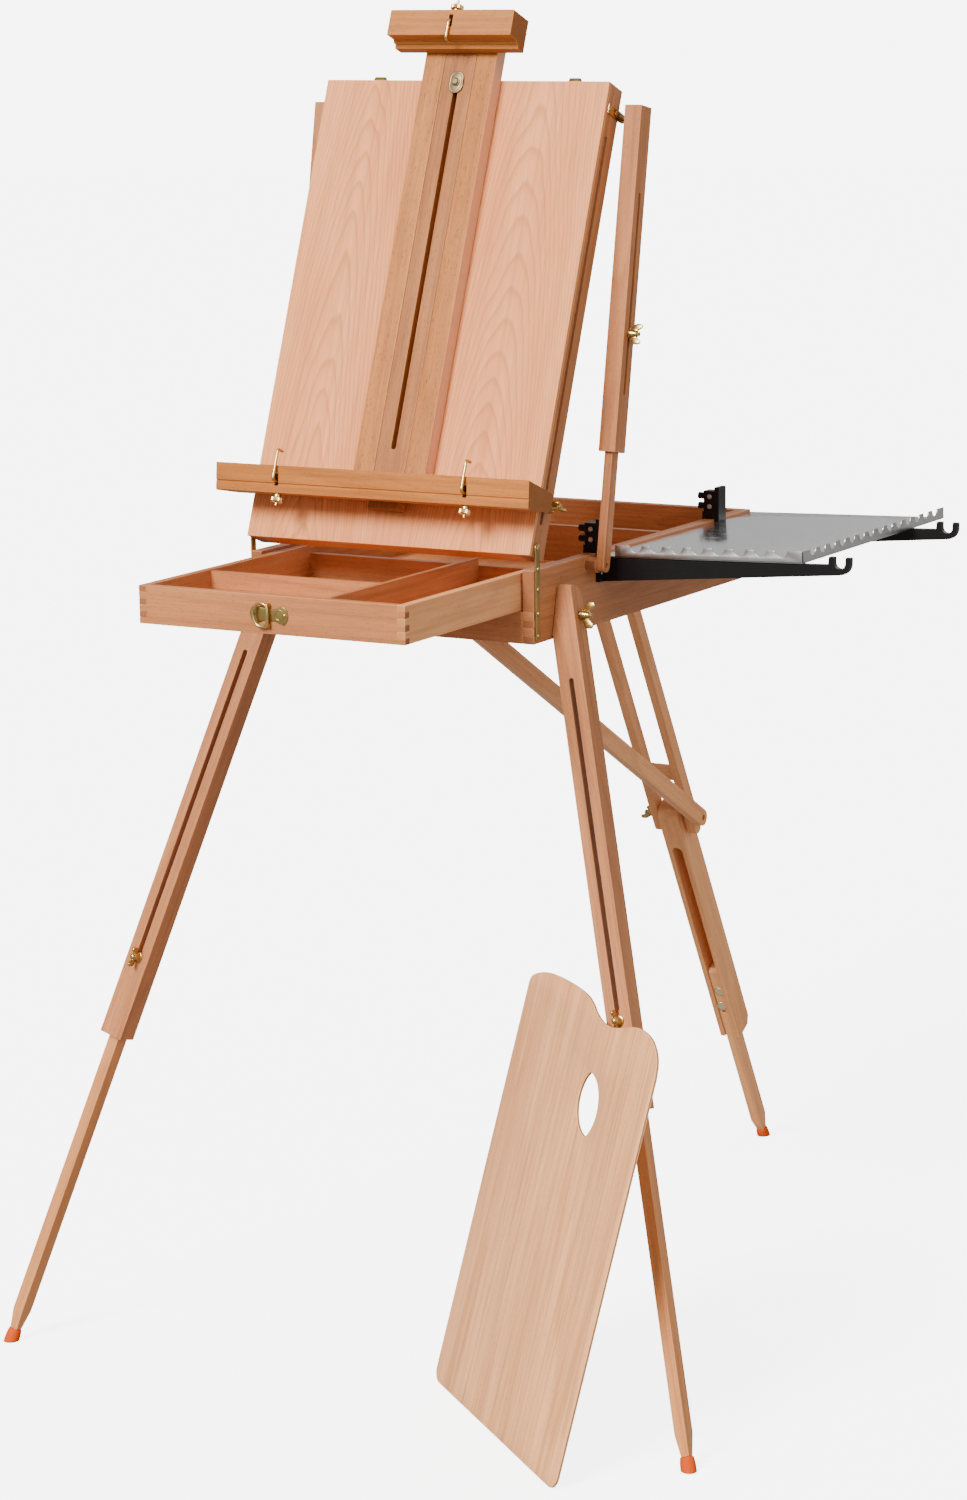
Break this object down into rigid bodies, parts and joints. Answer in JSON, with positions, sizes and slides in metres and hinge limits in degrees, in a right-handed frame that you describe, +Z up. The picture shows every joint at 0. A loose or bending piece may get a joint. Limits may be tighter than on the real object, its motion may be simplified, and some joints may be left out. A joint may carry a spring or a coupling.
{
  "type": "folding box easel",
  "caption": "Wooden folding box easel with sliding canvas mast, open drawer, telescoping legs, side tray and leaning palette.",
  "frame": {"origin": "centre of the bounding box at the floor", "axes": "+X to the side tray, +Y from the drawer front to the rear leg, +Z up"},
  "size_m": [0.962, 1.2872, 1.5689],
  "materials": {
    "beech": "satin varnish",
    "plywood": "satin varnish",
    "birch_ply": "matt",
    "brass": "polished",
    "black_steel": "powder coated",
    "sheet_metal": "brushed",
    "orange_rubber": "matt"
  },
  "bodies": {
    "box": {"box_side_r": "beech", "box_side_l": "beech", "box_front_panel": "beech", "box_back_panel": "beech", "box_bottom_panel": "plywood", "box_partition": "beech", "brace_dowel": "beech", "lid_hinge_r": "brass", "lid_hinge_l": "brass"},
    "drawer": {"drawer_side_r": "beech", "drawer_side_l": "beech", "drawer_front": "beech", "drawer_rear": "beech", "drawer_bottom": "plywood", "drawer_dividers": "beech", "latch_plate": "brass"},
    "latch_ring": {"latch_ring": "brass"},
    "lid": {"lid_panel": "plywood", "lid_frame": "beech", "lid_catch_r": "brass", "lid_catch_l": "brass", "stay_bracket_r": "brass", "stay_bracket_l": "brass"},
    "mast": {"tray_ledge": "beech", "mast_frame": "beech", "slider_plate": "brass"},
    "canvas_hook_r": {"canvas_hook_r": "brass"},
    "canvas_hook_l": {"canvas_hook_l": "brass"},
    "ledge_bolt_r": {"ledge_bolt_r": "brass"},
    "ledge_bolt_l": {"ledge_bolt_l": "brass"},
    "slider": {"mast_slider": "beech", "clamp_block": "beech"},
    "clamp_hook": {"clamp_hook": "brass"},
    "side_tray": {"side_tray": "sheet_metal", "side_arm_front": "black_steel", "side_arm_rear": "black_steel"},
    "palette": {"palette": "birch_ply"},
    "rear_leg_frame": {"rear_leg_frame": "beech"},
    "knee_bolt": {"knee_bolt": "brass"},
    "rear_leg_board": {"rear_leg_board": "beech"},
    "rear_leg_lower": {"rear_leg_lower": "beech", "rear_leg_foot": "orange_rubber"},
    "rear_brace": {"rear_brace": "beech"},
    "stay_rod_r": {"stay_rod_r": "beech"},
    "stay_channel_r": {"stay_channel_r": "beech"},
    "stay_bolt_r": {"stay_bolt_r": "brass"},
    "leg_pivot_bolt_r": {"leg_pivot_bolt_r": "brass"},
    "leg_upper_r": {"leg_upper_r": "beech"},
    "leg_lower_r": {"leg_lower_r": "beech", "leg_foot_r": "orange_rubber"},
    "leg_clamp_bolt_r": {"leg_clamp_bolt_r": "brass"},
    "stay_rod_l": {"stay_rod_l": "beech"},
    "stay_channel_l": {"stay_channel_l": "beech"},
    "stay_bolt_l": {"stay_bolt_l": "brass"},
    "leg_pivot_bolt_l": {"leg_pivot_bolt_l": "brass"},
    "leg_upper_l": {"leg_upper_l": "beech"},
    "leg_lower_l": {"leg_lower_l": "beech", "leg_foot_l": "orange_rubber"},
    "leg_clamp_bolt_l": {"leg_clamp_bolt_l": "brass"}
  },
  "joints": [
    {"name": "lid_tilt", "type": "hinge", "parent": "box", "child": "lid", "pos_m": [-0.01796, -0.35865, 0.977], "axis": [1, 0, 0], "range_deg": [-17, 18]},
    {"name": "ledge_slide", "type": "slide", "parent": "lid", "child": "mast", "axis": [0, 0.3639, 0.9314], "range_m": [-0.015, 0.4]},
    {"name": "slider_slide", "type": "slide", "parent": "mast", "child": "slider", "axis": [0, 0.3639, 0.9314], "range_m": [0, 0.36]},
    {"name": "clamp_hook_slide", "type": "slide", "parent": "slider", "child": "clamp_hook", "axis": [0, 0.3639, 0.9314], "range_m": [0, 0.0035]},
    {"name": "canvas_hook_slide_r", "type": "slide", "parent": "mast", "child": "canvas_hook_r", "axis": [0, 0.3639, 0.9314], "range_m": [-0.0025, 0]},
    {"name": "ledge_bolt_turn_r", "type": "hinge", "parent": "mast", "child": "ledge_bolt_r", "pos_m": [0.17504, -0.33895, 1.02191], "axis": [1, 0, 0], "continuous": true},
    {"name": "stay_swing_r", "type": "hinge", "parent": "box", "child": "stay_rod_r", "pos_m": [0.18654, -0.23695, 0.9427], "axis": [1, 0, 0], "range_deg": [-17, 18]},
    {"name": "stay_extend_r", "type": "slide", "parent": "stay_rod_r", "child": "stay_channel_r", "axis": [0, 0.1803, 0.9836], "range_m": [-0.0375, 0.0395]},
    {"name": "stay_bolt_turn_r", "type": "hinge", "parent": "stay_rod_r", "child": "stay_bolt_r", "pos_m": [0.19704, -0.18972, 1.20041], "axis": [1, 0, 0], "continuous": true},
    {"name": "leg_pivot_bolt_turn_r", "type": "hinge", "parent": "box", "child": "leg_pivot_bolt_r", "pos_m": [0.19504, -0.30515, 0.8967], "axis": [1, 0, 0], "continuous": true},
    {"name": "leg_fold_r", "type": "hinge", "parent": "box", "child": "leg_upper_r", "pos_m": [0.17664, -0.30515, 0.8967], "axis": [1, 0, 0], "range_deg": [0, 100]},
    {"name": "leg_extend_r", "type": "slide", "parent": "leg_upper_r", "child": "leg_lower_r", "axis": [0.2704, -0.2336, -0.934], "range_m": [-0.37, 0]},
    {"name": "leg_clamp_bolt_turn_r", "type": "hinge", "parent": "leg_lower_r", "child": "leg_clamp_bolt_r", "pos_m": [0.30158, -0.41305, 0.4652], "axis": [0, -0.9701, 0.2426], "continuous": true},
    {"name": "canvas_hook_slide_l", "type": "slide", "parent": "mast", "child": "canvas_hook_l", "axis": [0, 0.3639, 0.9314], "range_m": [-0.0025, 0]},
    {"name": "ledge_bolt_turn_l", "type": "hinge", "parent": "mast", "child": "ledge_bolt_l", "pos_m": [-0.21096, -0.33895, 1.02191], "axis": [-1, 0, 0], "continuous": true},
    {"name": "stay_swing_l", "type": "hinge", "parent": "box", "child": "stay_rod_l", "pos_m": [-0.22246, -0.23695, 0.9427], "axis": [1, 0, 0], "range_deg": [-17, 18]},
    {"name": "stay_extend_l", "type": "slide", "parent": "stay_rod_l", "child": "stay_channel_l", "axis": [0, 0.1803, 0.9836], "range_m": [-0.0375, 0.0395]},
    {"name": "stay_bolt_turn_l", "type": "hinge", "parent": "stay_rod_l", "child": "stay_bolt_l", "pos_m": [-0.23296, -0.18972, 1.20041], "axis": [-1, 0, 0], "continuous": true},
    {"name": "leg_pivot_bolt_turn_l", "type": "hinge", "parent": "box", "child": "leg_pivot_bolt_l", "pos_m": [-0.23096, -0.30515, 0.8967], "axis": [-1, 0, 0], "continuous": true},
    {"name": "leg_fold_l", "type": "hinge", "parent": "box", "child": "leg_upper_l", "pos_m": [-0.21256, -0.30515, 0.8967], "axis": [1, 0, 0], "range_deg": [0, 100]},
    {"name": "leg_extend_l", "type": "slide", "parent": "leg_upper_l", "child": "leg_lower_l", "axis": [-0.2704, -0.2336, -0.934], "range_m": [-0.37, 0]},
    {"name": "leg_clamp_bolt_turn_l", "type": "hinge", "parent": "leg_lower_l", "child": "leg_clamp_bolt_l", "pos_m": [-0.3375, -0.41305, 0.4652], "axis": [0, -0.9701, 0.2426], "continuous": true},
    {"name": "drawer_slide", "type": "slide", "parent": "box", "child": "drawer", "axis": [0, 1, 0], "range_m": [-0.05, 0.252]},
    {"name": "latch_ring_turn", "type": "hinge", "parent": "drawer", "child": "latch_ring", "pos_m": [-0.01796, -0.62365, 0.9282], "axis": [0, 0, 1], "range_deg": [0, 135]},
    {"name": "rear_leg_fold", "type": "hinge", "parent": "box", "child": "rear_leg_frame", "pos_m": [-0.01796, 0.15125, 0.8847], "axis": [1, 0, 0], "range_deg": [-108, 0]},
    {"name": "rear_knee_fold", "type": "hinge", "parent": "rear_leg_frame", "child": "rear_leg_board", "pos_m": [-0.01796, 0.35402, 0.51769], "axis": [1, 0, 0], "range_deg": [0, 150]},
    {"name": "rear_leg_extend", "type": "slide", "parent": "rear_leg_board", "child": "rear_leg_lower", "axis": [0, 0.4836, -0.8753], "range_m": [-0.18, 0]},
    {"name": "knee_bolt_turn", "type": "hinge", "parent": "rear_leg_frame", "child": "knee_bolt", "pos_m": [-0.01796, 0.35402, 0.51769], "axis": [-1, 0, 0], "continuous": true},
    {"name": "brace_swing", "type": "hinge", "parent": "box", "child": "rear_brace", "pos_m": [-0.01796, -0.27395, 0.8797], "axis": [1, 0, 0], "range_deg": [-60, 26]},
    {"name": "side_tray_lift", "type": "slide", "parent": "box", "child": "side_tray", "axis": [0, 0, 1], "range_m": [0, 0.045]},
    {"name": "palette_lift", "type": "slide", "parent": "box", "child": "palette", "axis": [0, 0, 1], "range_m": [0, 0.3]}
  ],
  "couplings": [
    {"joint": "stay_swing_r", "follows": "lid_tilt", "ratio": 0.975},
    {"joint": "stay_extend_r", "follows": "lid_tilt", "m_per_rad": 0.124},
    {"joint": "stay_swing_l", "follows": "lid_tilt", "ratio": 0.975},
    {"joint": "stay_extend_l", "follows": "lid_tilt", "m_per_rad": 0.124}
  ]
}
